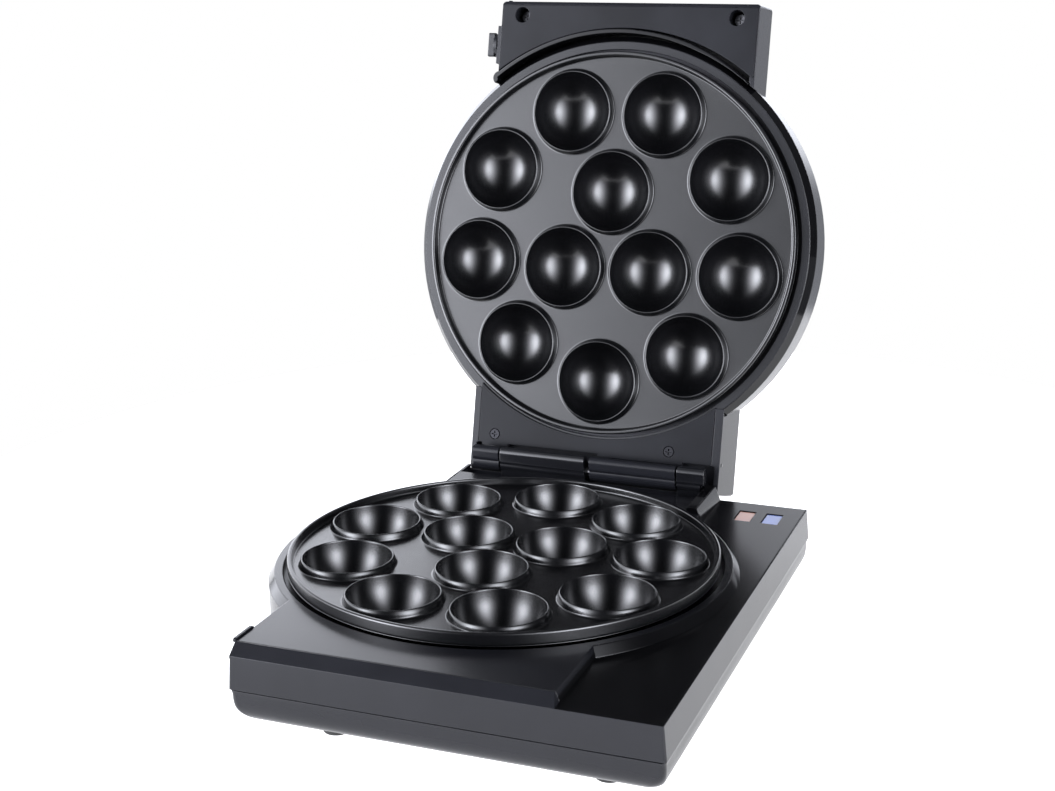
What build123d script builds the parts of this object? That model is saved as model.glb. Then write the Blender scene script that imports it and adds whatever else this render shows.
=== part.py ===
from build123d import *
from math import sin, cos, radians, sqrt, pi
import os

# Countertop cake pop maker: a round twelve-cup cooker with a hinged lid.
# Millimetres. X to the right along the hinge, Y to the rear, Z up.
# The origin is on the counter under the centre of the round baking plate.
# The lid stands open against its stop.

# ------------------------------------------------------------------ driving sizes
R_CUPS = 66.0          # pitch circle of the nine outer cups
R_CUPS_IN = 24.68      # pitch circle of the three inner cups
R_BALL = 18.68         # radius of the half-ball cavities
R_CREST = 19.17        # outer radius of the flat crest round a cup
R_SHOULDER = 21.2      # foot of the raised lip, on the plate floor
R_SHELL = 20.4         # outside of a cup, under the plate
Z_MATE = 39.6          # height of the plane where the two plates meet
GAP_MATE = 0.10        # each rim stays this far from the meeting plane
D_FLOOR = 3.3          # depth of the plate floor below the rims
D_PLATE = 5.6          # overall depth of the plate rim
R_PLATE = 91.08        # outside of the plate
R_RIM_IN = 88.97       # inside of the plate rim

D_DECK = 5.61          # annulus and plateau, below (or above) the meeting plane
D_STRIP = 9.57         # control strip and top of the drum wall
T_SKIN = 2.2           # thickness of covers
T_WALL = 2.5           # thickness of shells
R_HOLE = 92.73         # inner edge of the annulus
R_DECK = 96.30         # outer edge of the annulus
R_DRUM = 99.0          # drum wall

X_L, X_R = -64.0, 65.0         # sides of the plateau band of the base
Y_F, Y_B = -118.8, 112.5       # front and rear walls of the base
Y_DECK_F = -113.8              # front edge of the plateau, above the front chamfer
X_STRIP = 105.6                # outer wall of the control strip
X_STEP, X_STEP_FOOT = 64.2, 65.9   # step down to the strip, in front of the drum
Y_CHAMFER = 113.4              # the front lip ends here
Z_DECK = Z_MATE - D_DECK
Z_STRIP = Z_MATE - D_STRIP
Z_SEAM = 16.2                  # parting line of the base
Z_BOTTOM = 2.6                 # underside of the bottom shell
R_CORNER = 6.6
R_BELLY = 7.0                  # rounding under the bottom shell
# height, inset and corner radius of the sections of the belly
BELLY = [(15.95, 0.0, 1.9), (11.5, 0.3, 2.4), (7.05, 1.2, 3.2), (4.2, 3.4, 4.4), (3.0, 5.7, 5.2), (Z_BOTTOM, 7.6, 5.6)]
FOOT_R = 5.3
FEET = [(-26.4, -106.3), (81.8, -105.6), (-26.4, 98.0), (81.8, 98.0), (-78.0, 10.0)]

Y_AXIS, D_AXIS = 109.23, -1.47         # hinge axis, from the origin and the meeting plane
OPEN = 103.22                          # opening angle of the lid
R_KNUCKLE = 4.4
R_PIN = 2.0
PIN_PLAY = 0.05
KNUCKLES_LID = [(-58.0, -44.6), (1.9, 44.3)]
KNUCKLES_BASE = [(-43.7, -0.9), (45.2, 56.3)]
KN_Y, KN_Z, KN_R = (104.0, 109.6), (38.0, 46.4), 2.5   # squared front of the fixed knuckles
KN_Z_LID = (39.2, 46.4)                # the same on the lid's knuckles, lid open
X_KN_END = 58.2                        # right end of the squared front

XL_L, XL_R = -63.5, 64.4               # sides of the handle and hinge block of the lid
YL_F, YL_B = -114.5, 114.6             # front of the handle, rear of the lid
H_FACE = 4.62                          # inner face of the handle and the hinge block
H_TOP = 29.0                           # outer top of the lid
LID_DRAFT = 2.6                        # front and rear walls of the lid lean out towards its top
C_ARC = (-2.1, -5.0)                   # the trench in front of the drum is not concentric with it
R_ARC = 95.3                           # outer wall of the trench
W_BEAD = 2.1                           # bead round the trench
H_TRENCH = 19.8                        # floor of the trench round the drum
HANDLE_SCREWS = [(-53.0, -108.1), (53.7, -108.1)]
HINGE_SCREWS = [(-51.7, 96.5), (37.3, 96.4)]
R_SCREW_WELL = 3.7

LATCH_Y, LATCH_H = -93.7, 10.0         # pivot of the latch on the left side of the handle
LATCH_SWING = 92.5
PEG_Y, PEG_D, PEG_R = -104.0, -9.8, 1.6   # keeper peg on the left side of the base

LAMPS = [("amber", 80.55), ("blue", 93.2)]
LAMP_Y, LAMP_W, LAMP_L = 95.0, 7.8, 13.2

R_ELEMENT, T_ELEMENT, D_ELEMENT = 45.35, 2.7, 12.2
POSTS = [(81.0, 110.0), (81.0, 230.0), (81.0, 350.0)]

# ------------------------------------------------------------------ frames
MATE = Plane.XY.offset(Z_MATE)
c, s = cos(radians(OPEN)), sin(radians(OPEN))
# Lid frame: x and y as with the lid closed, z the height above the meeting plane.
LID = Plane(
    origin=(0, Y_AXIS + c * (0 - Y_AXIS) + s * (0 - D_AXIS), Z_MATE + D_AXIS - s * (0 - Y_AXIS) + c * (0 - D_AXIS)),
    x_dir=(1, 0, 0),
    z_dir=(0, s, c),
)
# Upper plate frame: the same casting as below, turned over about the Y axis.
LID_FLIP = Plane(origin=LID.origin, x_dir=(-1, 0, 0), z_dir=-LID.z_dir)
DECK = Plane.XY.offset(Z_DECK)

os.makedirs("parts", exist_ok=True)
made = []


def save(builder, name):
    builder.part.label = name
    export_step(builder.part, "parts/" + name + ".step")
    made.append(name)


def polar(r, a):
    return (r * cos(radians(a)), r * sin(radians(a)))


# ------------------------------------------------------------------ outlines
# Inner footprint of the base: a rectangle with rounded corners and the round drum.
with BuildSketch() as footprint_inner:
    with Locations(((X_L + X_STRIP) / 2, (Y_F + Y_B) / 2)):
        RectangleRounded(X_STRIP - X_L - 2 * T_WALL, Y_B - Y_F - 2 * T_WALL, R_CORNER - T_WALL)
    Circle(R_DRUM - T_WALL)

# Inner footprint of the lid: the drum with the handle in front and the hinge block behind.
with BuildSketch() as lid_outline_inner:
    with Locations(((XL_L + XL_R) / 2, (YL_F + YL_B) / 2)):
        Rectangle(XL_R - XL_L - 2 * T_WALL, YL_B - YL_F - 2 * T_WALL)
    Circle(R_DRUM - T_WALL)


# ------------------------------------------------------------------ bottom shell
with BuildPart() as base_bottom_shell:
    # walls that stay square below the seam and roll under in a soft belly
    for z, inset, r in BELLY:
        with BuildSketch(Plane.XY.offset(z)):
            with Locations(((-64.75 + 106.45) / 2, (-118.95 + 113.15) / 2)):
                RectangleRounded(106.45 + 64.75 - 2 * inset, 113.15 + 118.95 - 2 * inset, r)
    loft()
    # round drum
    with BuildSketch(Plane.XZ):
        with BuildLine():
            d1 = Line((0, Z_BOTTOM), (R_DRUM - R_BELLY, Z_BOTTOM))
            d2 = TangentArc(d1 @ 1, (R_DRUM, Z_BOTTOM + R_BELLY), tangent=(1, 0))
            Polyline(d2 @ 1, (R_DRUM, Z_SEAM - 0.25), (0, Z_SEAM - 0.25), (0, Z_BOTTOM))
        make_face()
    revolve(axis=Axis.Z)
    with BuildSketch(Plane.XY.offset(Z_BOTTOM + 5.0)):
        add(footprint_inner.sketch)
    extrude(amount=Z_SEAM, mode=Mode.SUBTRACT)
    # inner floor, stepped in from the rounded belly
    with BuildSketch(Plane.XY.offset(Z_BOTTOM + T_WALL)):
        with Locations(((X_L + X_STRIP) / 2, (Y_F + Y_B) / 2)):
            RectangleRounded(X_STRIP - X_L - 12, Y_B - Y_F - 12, 4)
        Circle(R_DRUM - 6)
    extrude(amount=6, mode=Mode.SUBTRACT)
    # tongue that locates the upper shell
    with BuildSketch(Plane.XY.offset(Z_SEAM - 2.0)):
        with Locations(((X_L + X_STRIP) / 2, (Y_F + Y_B) / 2)):
            RectangleRounded(X_STRIP - X_L - 3.4, Y_B - Y_F - 3.4, R_CORNER - 1.7)
        Circle(R_DRUM - 1.7)
        add(footprint_inner.sketch, mode=Mode.SUBTRACT)
    extrude(amount=4.0)
    # screw columns under the upper shell's bosses
    with BuildSketch(Plane.XY.offset(Z_BOTTOM + 1.0)):
        with Locations((-50, -100), (92, -100), (92, 84), (-50, 96), (0, -84), (-84, -32)):
            Circle(4.6)
    extrude(amount=Z_SEAM - 0.25 - Z_BOTTOM - 1.0)
    # posts of the lamp board
    with BuildSketch(Plane.XY.offset(Z_BOTTOM + 1.0)):
        with Locations((76.6, LAMP_Y + 8.0), (97.2, LAMP_Y + 8.0)):
            Circle(2.4)
    extrude(amount=Z_STRIP - 11.6 - Z_BOTTOM - 1.0)
    with Locations(*[(x, y, Z_BOTTOM) for x, y in ((-50, -100), (92, -100), (92, 84), (-50, 96), (0, -84), (-84, -32))]):
        with Locations(Rotation(180, 0, 0)):
            CounterBoreHole(1.8, 3.3, 5.0, depth=40)
    # foot recesses
    with BuildSketch(Plane.XY.offset(Z_BOTTOM)):
        with Locations(*FEET):
            Circle(FOOT_R + 0.1)
    extrude(amount=1.2, mode=Mode.SUBTRACT)
    # vent slots under the hot plate
    with BuildSketch(Plane.XY.offset(Z_BOTTOM - 1)):
        with GridLocations(14, 30, 5, 2):
            SlotOverall(22, 2.4, rotation=90)
    extrude(amount=6, mode=Mode.SUBTRACT)
save(base_bottom_shell, "base_bottom_shell")

# ------------------------------------------------------------------ upper shell of the base
with BuildPart() as base_upper_shell:
    # walls that lean out a little towards the seam
    with BuildSketch(Plane.XY.offset(Z_SEAM + 0.25)):
        with Locations(((-65.1 + 106.8) / 2, (-119.2 + 113.4) / 2)):
            RectangleRounded(106.8 + 65.1, 113.4 + 119.2, 1.2)
    with BuildSketch(Plane.XY.offset(Z_STRIP)):
        with Locations(((X_L + X_STRIP) / 2, (Y_F + Y_B) / 2)):
            RectangleRounded(X_STRIP - X_L, Y_B - Y_F, 0.6)
    loft()
    with BuildSketch(Plane.XY.offset(Z_SEAM + 0.25)):
        Circle(R_DRUM)
    extrude(amount=Z_STRIP - Z_SEAM - 0.25)
    # the plateau band, with its long front chamfer
    with BuildSketch(Plane.YZ.offset(X_L)):
        with BuildLine():
            Polyline((Y_F, Z_STRIP - 1), (Y_F, Z_STRIP), (Y_DECK_F, Z_DECK), (Y_B, Z_DECK), (Y_B, Z_STRIP - 1), close=True)
        make_face()
    extrude(amount=66.2 - X_L)
    # room for the strip step, which is a glossy piece of its own
    with BuildSketch(Plane.XY.offset(Z_STRIP)):
        with Locations(((63.15 + 68) / 2, (-Y_CHAMFER + 130) / 2)):
            Rectangle(68 - 63.15, 130 + Y_CHAMFER)
        with Locations(((62.3 + X_R + 1) / 2, (79.7 + 130) / 2)):
            Rectangle(X_R + 1 - 62.3, 130 - 79.7)
    extrude(amount=10, mode=Mode.SUBTRACT)
    # right end of the front chamfer, in line with the step
    with BuildSketch(Plane.XZ.offset(Y_CHAMFER - 1)):
        with BuildLine():
            Polyline((X_STEP, Z_DECK), (X_STEP_FOOT, Z_STRIP), (70, Z_STRIP), (70, Z_DECK + 2), (X_STEP, Z_DECK + 2), close=True)
        make_face()
    extrude(amount=9, mode=Mode.SUBTRACT)
    # main hollow
    with BuildSketch(Plane.XY.offset(Z_SEAM)):
        add(footprint_inner.sketch)
    extrude(amount=Z_STRIP - T_SKIN - Z_SEAM, mode=Mode.SUBTRACT)
    # rebate for the tongue of the bottom shell
    with BuildSketch(Plane.XY.offset(Z_SEAM)):
        with Locations(((X_L + X_STRIP) / 2, (Y_F + Y_B) / 2)):
            RectangleRounded(X_STRIP - X_L - 3.2, Y_B - Y_F - 3.2, R_CORNER - 1.6)
        Circle(R_DRUM - 1.6)
    extrude(amount=2.1, mode=Mode.SUBTRACT)
    # open top under the plateau, the drum and the control strip
    with BuildSketch(Plane.XY.offset(Z_SEAM)):
        with Locations(((X_L + T_WALL + 62.0) / 2, (Y_DECK_F + 2.6 + 101.5) / 2)):
            Rectangle(62.0 - X_L - T_WALL, 101.5 - 2.6 - Y_DECK_F)
        Circle(R_DRUM - T_WALL)
    extrude(amount=40, mode=Mode.SUBTRACT)
    with BuildSketch(Plane.XY.offset(Z_STRIP - T_SKIN)):
        with Locations(((62.0 + X_STRIP - 0.3) / 2, (Y_F + Y_B) / 2)):
            Rectangle(X_STRIP - 0.3 - 62.0, Y_B - Y_F - 0.6)
    extrude(amount=T_SKIN, mode=Mode.SUBTRACT)
    with BuildSketch(Plane.XY.offset(Z_SEAM)):
        with Locations(((62.0 + X_STRIP - T_WALL) / 2, (Y_F + Y_B) / 2)):
            Rectangle(X_STRIP - T_WALL - 62.0, Y_B - Y_F - 2 * T_WALL)
    extrude(amount=Z_STRIP + 0.02 - Z_SEAM, mode=Mode.SUBTRACT)
    # the round cover sits over the drum
    with BuildSketch(Plane.XY.offset(Z_STRIP)):
        Circle(R_DRUM + 0.3)
    extrude(amount=12, mode=Mode.SUBTRACT)
    # rebate for the plateau cover: a fine lip stays round it
    with BuildSketch(Plane.XY.offset(Z_DECK - T_SKIN)):
        with Locations(((X_L + 0.5 + 68.0) / 2, (Y_DECK_F + 0.4 + 98.6) / 2)):
            Rectangle(68.0 - X_L - 0.5, 98.6 - Y_DECK_F - 0.4)
        with Locations((X_L, (Y_DECK_F + 0.4 + 80.2) / 2)):
            Rectangle(3.0, 80.2 - Y_DECK_F - 0.4)
    extrude(amount=10, mode=Mode.SUBTRACT)
    with BuildSketch(Plane.XY.offset(Z_DECK - T_SKIN)):
        with Locations(((-62.95 + 61.4) / 2, 95.0)):
            Rectangle(61.4 + 62.95, 13.0)
    extrude(amount=10, mode=Mode.SUBTRACT)
    # hinge trough, with a low rear wall
    with BuildSketch(Plane.XY.offset(27.6)):
        with Locations(((-62.6 + 56.9) / 2, (101.4 + 110.5) / 2)):
            Rectangle(56.9 + 62.6, 110.5 - 101.4)
    extrude(amount=20, mode=Mode.SUBTRACT)
    with BuildSketch(Plane.XY.offset(32.3)):
        with Locations(((-62.6 + 56.9) / 2, 108.4)):
            Rectangle(56.9 + 62.6, 14.0)
    extrude(amount=20, mode=Mode.SUBTRACT)
    with BuildSketch(Plane.XY.offset(25.2)):
        with Locations(((-62.6 + 56.9) / 2, 106.0)):
            Rectangle(56.9 + 62.6, 11.0)
    extrude(amount=2.4)
    # screw bosses over the columns of the bottom shell
    with BuildSketch(Plane.XY.offset(Z_SEAM + 0.25)):
        with Locations((-50, -100), (92, -100), (92, 84), (-50, 96)):
            Circle(4.2)
        with Locations((-50, -100), (92, -100), (92, 84), (-50, 96)):
            Circle(1.25, mode=Mode.SUBTRACT)
    extrude(amount=8.0)
    # webs from the bosses to the walls
    with BuildSketch(Plane.XY.offset(Z_SEAM + 2.5)):
        for x0, y0, x1, y1 in ((-54, -100, -62.5, -100), (96, -100, 104, -100), (96, 84, 104, 84), (-54, 96, -62.5, 96)):
            with Locations(((x0 + x1) / 2, y0)):
                Rectangle(abs(x1 - x0) + 0.4, 2.0)
    extrude(amount=6.0)
    # cord hole in the rear wall
    with BuildSketch(Plane.XZ.offset(-Y_B - 1)):
        with Locations((85.0, 22.1)):
            Circle(3.85)
    extrude(amount=5, mode=Mode.SUBTRACT)
    # seats of the keeper
    with BuildSketch(Plane.YZ.offset(X_L - 1)):
        with Locations((PEG_Y, 30.6)):
            Circle(0.95)
    extrude(amount=6, mode=Mode.SUBTRACT)
save(base_upper_shell, "base_upper_shell")

# ------------------------------------------------------------------ plateau cover and ring of the base
with BuildPart() as base_top_cover:
    # edge over the step, with its slope
    with BuildSketch(Plane.XZ.offset(70)):
        with BuildLine():
            x_low = X_STEP + (X_STEP_FOOT - X_STEP) * T_SKIN / (Z_DECK - Z_STRIP)
            Polyline((62.0, Z_DECK), (X_STEP, Z_DECK), (x_low, Z_DECK - T_SKIN), (62.0, Z_DECK - T_SKIN), close=True)
        make_face()
    extrude(amount=-(Y_DECK_F + 0.75) - 70)
    with BuildSketch(Plane.XZ):
        with BuildLine():
            Polyline((80, Z_STRIP), (R_DRUM + 0.3, Z_STRIP), (R_DECK + 0.15, Z_DECK), (R_DECK + 0.15, Z_DECK + 1), (80, Z_DECK + 1), close=True)
        make_face()
    revolve(axis=Axis.Z, mode=Mode.SUBTRACT)
    with BuildSketch(Plane.XY.offset(Z_DECK - T_SKIN)):
        with Locations(((X_L + 63.2) / 2, (Y_DECK_F + 0.75 + 0) / 2)):
            Rectangle(63.2 - X_L, -(Y_DECK_F + 0.75))
        with Locations(((X_L + 63.2) / 2, 40.0)):
            Rectangle(63.2 - X_L, 80.0)
        Circle(R_DECK)
        Circle(R_HOLE, mode=Mode.SUBTRACT)
    extrude(amount=T_SKIN)
    inner = base_top_cover.faces().filter_by(Plane.XY).sort_by(Axis.Z)[-1].edges().filter_by(GeomType.CIRCLE).sort_by(SortBy.RADIUS)[0]
    chamfer(inner, 0.45)
save(base_top_cover, "base_top_cover")

# rear panel between the ring and the hinge
with BuildPart() as base_rear_panel:
    with BuildSketch(Plane.XY.offset(Z_DECK - T_SKIN)):
        with Locations(((-62.85 + 61.3) / 2, (72.0 + 100.4) / 2)):
            Rectangle(61.3 + 62.85, 100.4 - 72.0)
        Circle(R_DECK + 0.35, mode=Mode.SUBTRACT)
        with Locations((0, 38.0)):
            Rectangle(200, 84.9, mode=Mode.SUBTRACT)
    extrude(amount=T_SKIN)
    # downturned edge in front of the knuckles
    with BuildSketch(Plane.XY.offset(27.7)):
        with Locations(((-61.3 + 56.7) / 2, 99.7)):
            Rectangle(56.7 + 61.3, 1.4)
    extrude(amount=Z_DECK - T_SKIN - 27.7)
save(base_rear_panel, "base_rear_panel")

# ------------------------------------------------------------------ glossy flared ring and step
with BuildPart() as base_ring_band:
    with BuildSketch(Plane.XZ):
        with BuildLine():
            Polyline((R_DECK + 0.05, Z_DECK), (R_DRUM + 0.2, Z_STRIP), (R_DRUM - 2.3, Z_STRIP), (R_DECK - 1.3, Z_DECK - 2.3), (R_DECK + 0.05, Z_DECK - 2.3), close=True)
        make_face()
    revolve(axis=Axis.Z, revolution_arc=360)
    with BuildSketch(Plane.XY.offset(Z_STRIP - 1)):
        with Locations(((X_L + 63.3) / 2, 0)):
            Rectangle(63.3 - X_L, 260)
    extrude(amount=10, mode=Mode.SUBTRACT)
    # near-vertical step wall between the plateau and the control strip
    with BuildSketch(Plane.XZ.offset(-79.78)):
        with BuildLine():
            Polyline((63.25, Z_DECK + 0.02), (63.4, Z_DECK + 0.02), (64.5, Z_STRIP + 0.02), (63.25, Z_STRIP + 0.02), close=True)
        make_face()
    extrude(amount=79.78 - 72.7)
    # raised cheek that closes the end of the hinge trough
    with BuildSketch(Plane.XZ.offset(-112.4)):
        with BuildLine():
            Polyline((57.0, Z_DECK + 0.02), (57.0, 36.2), (57.5, 36.7), (61.5, 36.7), (61.95, 36.4), (64.5, Z_STRIP + 0.02), (62.4, Z_STRIP + 0.02), (62.4, Z_DECK + 0.02), close=True)
        make_face()
    extrude(amount=112.4 - 79.8)
    # step block under the edge of the cover
    with BuildSketch(Plane.XZ.offset(72.7)):
        with BuildLine():
            Polyline((63.3, Z_DECK - T_SKIN - 0.02), (x_low, Z_DECK - T_SKIN - 0.02), (X_STEP_FOOT, Z_STRIP + 0.02), (63.3, Z_STRIP + 0.02), close=True)
        make_face()
    extrude(amount=Y_CHAMFER - 0.02 - 72.7)
save(base_ring_band, "base_ring_band")

# ------------------------------------------------------------------ glossy control strip
with BuildPart() as control_strip:
    with BuildSketch(Plane.XY.offset(Z_STRIP - T_SKIN)):
        with Locations(((62.2 + X_STRIP - 0.62) / 2, (Y_F + Y_B) / 2)):
            Rectangle(X_STRIP - 0.62 - 62.2, Y_B - Y_F - 1.1)
        Circle(R_DRUM + 0.05, mode=Mode.SUBTRACT)
        for name, x in LAMPS:
            with Locations((x, LAMP_Y)):
                Rectangle(LAMP_W, LAMP_L, mode=Mode.SUBTRACT)
    extrude(amount=T_SKIN)
    fillet(control_strip.edges().filter_by(Axis.Z).group_by(Axis.X)[-1], 0.4)
save(control_strip, "control_strip")

for name, x in LAMPS:
    with BuildPart() as window:
        with BuildSketch(Plane.XY.offset(Z_STRIP - T_SKIN)):
            with Locations((x, LAMP_Y)):
                Rectangle(LAMP_W - 0.1, LAMP_L - 0.1)
        extrude(amount=T_SKIN - 0.35)
        with BuildSketch(Plane.XY.offset(Z_STRIP - T_SKIN - 1.0)):
            with Locations((x, LAMP_Y)):
                Rectangle(LAMP_W + 1.6, LAMP_L + 1.6)
        extrude(amount=1.0)
        chamfer(window.faces().sort_by(Axis.Z)[-1].edges(), 0.3)
    save(window, name + "_lamp_window")

with BuildPart() as lamp_board:
    with BuildSketch(Plane.XY.offset(Z_STRIP - 11.6)):
        with Locations((86.9, LAMP_Y + 2.6)):
            Rectangle(26.0, 16.0)
        with Locations((76.6, LAMP_Y + 8.0), (97.2, LAMP_Y + 8.0)):
            Circle(1.2, mode=Mode.SUBTRACT)
    extrude(amount=1.5)
save(lamp_board, "lamp_board")

with BuildPart() as neon_lamps:
    for name, x in LAMPS:
        with BuildSketch(Plane.XZ.offset(-LAMP_Y - 5.5)):
            with Locations((x, Z_STRIP - 7.0)):
                Circle(2.6)
        extrude(amount=11.0)
        with BuildSketch(Plane.XY.offset(Z_STRIP - 10.1)):
            with Locations((x - 1.4, LAMP_Y - 4.0), (x + 1.4, LAMP_Y - 4.0)):
                Circle(0.35)
        extrude(amount=2.0)
save(neon_lamps, "neon_lamps")

# ------------------------------------------------------------------ baking plate casting
# One half-ball cup, seen on its own axis: lip above the floor, shell below.
with BuildPart() as cup_form:
    with BuildSketch(Plane.XZ):
        with BuildLine():
            a = Polyline((0, -GAP_MATE), (R_CREST, -GAP_MATE))
            b = Spline(a @ 1, (R_CREST + 1.35, -GAP_MATE - 1.15), (R_SHOULDER, -D_FLOOR - 0.2), tangents=((1, -0.12), (0.25, -1)))
            d = Polyline(b @ 1, (R_SHOULDER, -D_FLOOR - 2.0), (sqrt(R_SHELL**2 - (D_FLOOR + 2.0) ** 2), -D_FLOOR - 2.0))
            e = RadiusArc(d @ 1, (0, -R_SHELL), R_SHELL)
            Line(e @ 1, a @ 0)
        make_face()
    revolve(axis=Axis.Z)


with BuildPart() as plate_form:
    with BuildSketch(Plane.XZ):
        with BuildLine():
            Polyline(
                (0, -D_FLOOR), (R_RIM_IN - 0.45, -D_FLOOR), (R_RIM_IN, -GAP_MATE - 0.7), (R_RIM_IN + 0.5, -GAP_MATE),
                (R_PLATE - 0.5, -GAP_MATE), (R_PLATE, -GAP_MATE - 0.6), (R_PLATE, -4.55), (R_PLATE - 0.5, -4.65),
                (R_PLATE - 0.5, -4.8), (R_PLATE - 0.1, -4.9), (R_PLATE - 0.1, -D_PLATE), (R_PLATE - 3.2, -D_PLATE), (0, -D_FLOOR - 2.0),
                close=True,
            )
        make_face()
    revolve(axis=Axis.Z)
    with PolarLocations(R_CUPS, 9, start_angle=90):
        add(cup_form.part)
    with PolarLocations(R_CUPS_IN, 3, start_angle=-90):
        add(cup_form.part)
    with PolarLocations(R_CUPS, 9, start_angle=90):
        Sphere(R_BALL, mode=Mode.SUBTRACT)
    with PolarLocations(R_CUPS_IN, 3, start_angle=-90):
        Sphere(R_BALL, mode=Mode.SUBTRACT)
    # fixing posts and the central thermostat post on the back
    with BuildSketch(Plane.XY.offset(-21.4)):
        with Locations(*[polar(*p) for p in POSTS]):
            Circle(3.6)
    extrude(amount=21.4 - D_FLOOR - 1.0)
    with BuildSketch(Plane.XY.offset(-21.4)):
        Circle(3.0)
    extrude(amount=21.4 - D_FLOOR - 1.0)
    with BuildSketch(Plane.XY.offset(-21.5)):
        with Locations(*[polar(*p) for p in POSTS]):
            Circle(1.5)
    extrude(amount=12.0, mode=Mode.SUBTRACT)

with BuildPart(MATE) as lower_baking_plate:
    add(plate_form.part)
save(lower_baking_plate, "lower_baking_plate")

with BuildPart(LID_FLIP) as upper_baking_plate:
    add(plate_form.part)
save(upper_baking_plate, "upper_baking_plate")

# ------------------------------------------------------------------ tubular heating element
with BuildPart() as element_form:
    with BuildSketch(Plane.XZ):
        with Locations((R_ELEMENT, -D_ELEMENT)):
            Circle(T_ELEMENT)
    revolve(axis=Axis.Z, revolution_arc=318)
    for a in (0.0, 318.0):
        with BuildSketch(Plane.XY.offset(-D_ELEMENT - 8.0)):
            with Locations(polar(R_ELEMENT, a)):
                Circle(T_ELEMENT)
        extrude(amount=8.0)
        with Locations(Pos(*polar(R_ELEMENT, a), -D_ELEMENT)):
            Sphere(T_ELEMENT)
        with BuildSketch(Plane.XY.offset(-D_ELEMENT - 13.5)):
            with Locations(polar(R_ELEMENT, a)):
                Circle(1.1)
        extrude(amount=6.0)
with BuildPart(MATE) as lower_heating_element:
    add(element_form.part)
save(lower_heating_element, "lower_heating_element")
with BuildPart(LID_FLIP) as upper_heating_element:
    add(element_form.part)
save(upper_heating_element, "upper_heating_element")

# ------------------------------------------------------------------ reflector dish under each plate
with BuildPart() as reflector_form:
    with BuildSketch(Plane.XZ):
        with BuildLine():
            Polyline(
                (0, -22.2), (86.0, -22.2), (89.3, -8.5), (94.2, -8.5), (94.2, -7.9), (88.8, -7.9), (85.5, -21.5), (0, -21.5),
                close=True,
            )
        make_face()
    revolve(axis=Axis.Z)
    with BuildSketch(Plane.XY.offset(-23)):
        with Locations(polar(R_ELEMENT, 0), polar(R_ELEMENT, 318)):
            Circle(4.2)
        with Locations(*[polar(*p) for p in POSTS]):
            Circle(1.7)
        Circle(1.6)
    extrude(amount=3, mode=Mode.SUBTRACT)
with BuildPart(MATE) as lower_reflector:
    add(reflector_form.part)
save(lower_reflector, "lower_reflector")
with BuildPart(LID_FLIP) as upper_reflector:
    add(reflector_form.part)
save(upper_reflector, "upper_reflector")

# screws that hold a reflector to the posts of its plate
with BuildPart() as plate_screw_form:
    with BuildSketch(Plane.XY.offset(-24.2)):
        with Locations(*[polar(*p) for p in POSTS]):
            Circle(3.0)
    extrude(amount=2.0)
    with BuildSketch(Plane.XY.offset(-22.3)):
        with Locations(*[polar(*p) for p in POSTS]):
            Circle(1.45)
    extrude(amount=9.0)
    with BuildSketch(Plane.XY.offset(-24.2)):
        with Locations(*[polar(*p) for p in POSTS]):
            Rectangle(3.4, 0.7)
            Rectangle(0.7, 3.4)
    extrude(amount=1.0, mode=Mode.SUBTRACT)
with BuildPart(MATE) as lower_plate_screws:
    add(plate_screw_form.part)
save(lower_plate_screws, "lower_plate_screws")
with BuildPart(LID_FLIP) as upper_plate_screws:
    add(plate_screw_form.part)
save(upper_plate_screws, "upper_plate_screws")

# ------------------------------------------------------------------ control parts in the base
with BuildPart() as thermostat:
    with BuildSketch(MATE.offset(-22.25 - 6.0)):
        Circle(7.0)
    extrude(amount=6.0)
    with BuildSketch(MATE.offset(-22.25 - 1.2)):
        Rectangle(22.0, 8.0)
    extrude(amount=1.2)
    with BuildSketch(MATE.offset(-22.25 - 8.0)):
        with Locations((-4.2, 0), (4.2, 0)):
            Rectangle(0.8, 5.0)
    extrude(amount=2.2)
save(thermostat, "thermostat")

with BuildPart() as thermal_fuse:
    with BuildSketch(Plane.YZ.offset(24.0)):
        with Locations((18.0, Z_MATE - 22.25 - 2.1)):
            Circle(2.0)
    extrude(amount=12.0)
    with BuildSketch(Plane.YZ.offset(17.0)):
        with Locations((18.0, Z_MATE - 22.25 - 2.1)):
            Circle(0.5)
    extrude(amount=26.0)
save(thermal_fuse, "thermal_fuse")

with BuildPart() as terminal_block:
    with Locations((86.0, 66.0, Z_BOTTOM + T_WALL)):
        Box(24, 14, 9, align=(Align.CENTER, Align.CENTER, Align.MIN))
    with BuildSketch(Plane.XY.offset(Z_BOTTOM + T_WALL + 3)):
        with Locations((86.0, 66.0)):
            with GridLocations(8, 8, 3, 2):
                Circle(1.7)
    extrude(amount=8, mode=Mode.SUBTRACT)
save(terminal_block, "terminal_block")

with BuildPart() as cord_gland:
    with BuildSketch(Plane.XZ.offset(-Y_B + 6.0)):
        with Locations((85.0, 22.1)):
            Circle(3.8)
    extrude(amount=-7.0)
    with BuildSketch(Plane.XZ.offset(-Y_B - 0.95)):
        with Locations((85.0, 22.1)):
            Circle(5.4)
    extrude(amount=-1.6)
    with BuildSketch(Plane.XZ.offset(-Y_B + 8.0)):
        with Locations((85.0, 22.1)):
            Circle(2.6)
    extrude(amount=-12.0, mode=Mode.SUBTRACT)
save(cord_gland, "cord_gland")

# ------------------------------------------------------------------ feet and bottom screws
with BuildPart() as rubber_feet:
    with BuildSketch():
        with Locations(*FEET):
            Circle(FOOT_R)
    extrude(amount=Z_BOTTOM + 1.2)
    fillet(rubber_feet.edges().group_by(Axis.Z)[0], 0.9)
save(rubber_feet, "rubber_feet")

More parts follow.
